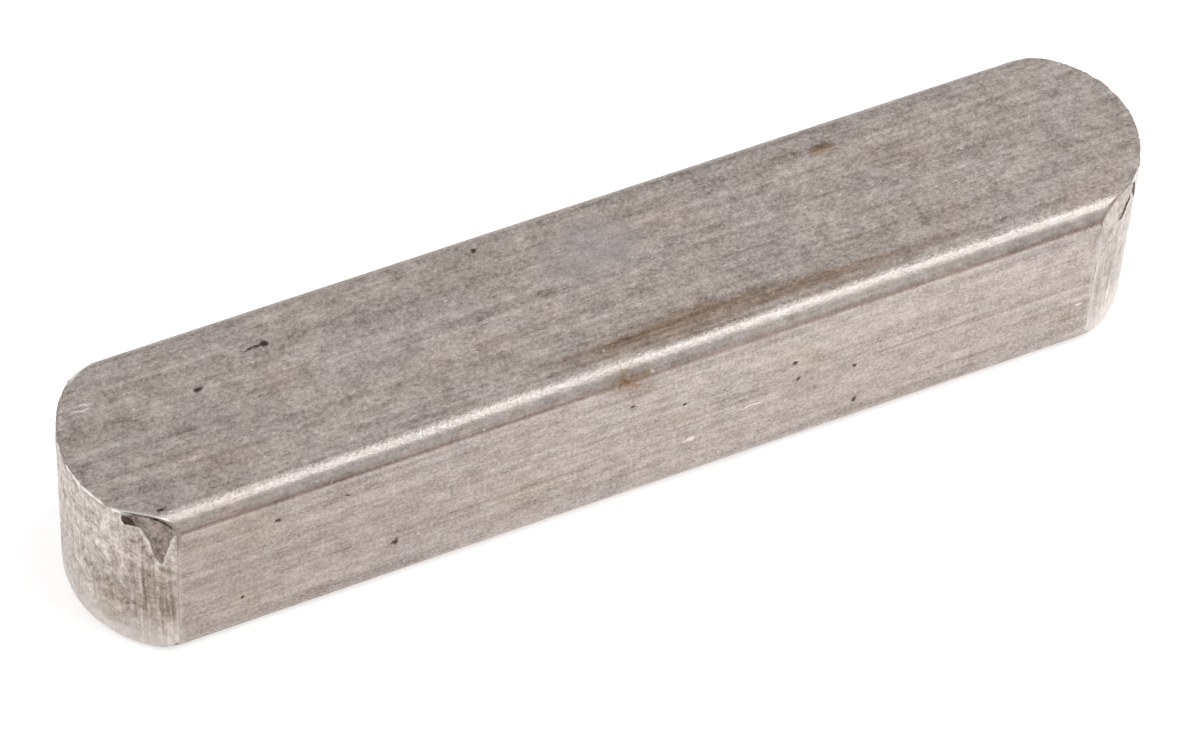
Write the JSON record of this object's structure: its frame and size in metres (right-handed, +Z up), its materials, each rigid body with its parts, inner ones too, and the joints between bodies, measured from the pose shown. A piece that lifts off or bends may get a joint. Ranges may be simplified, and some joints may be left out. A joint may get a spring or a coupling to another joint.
{
  "type": "parallel key",
  "caption": "Straight steel key of rectangular section with round ends and rolled long edges, sheared from drawn bar, with torn corners.",
  "frame": {"origin": "middle of the foot, the face that sits on the floor of the shaft's keyway", "axes": "+X along the key's length, +Y across its width, +Z up from the foot to the crown"},
  "size_m": [0.04, 0.008, 0.007],
  "materials": {
    "key_steel": "drawn key steel, dull warm grey, lightly streaked along its length"
  },
  "bodies": {
    "root": {"parallel_key": "key_steel"}
  },
  "joints": []
}
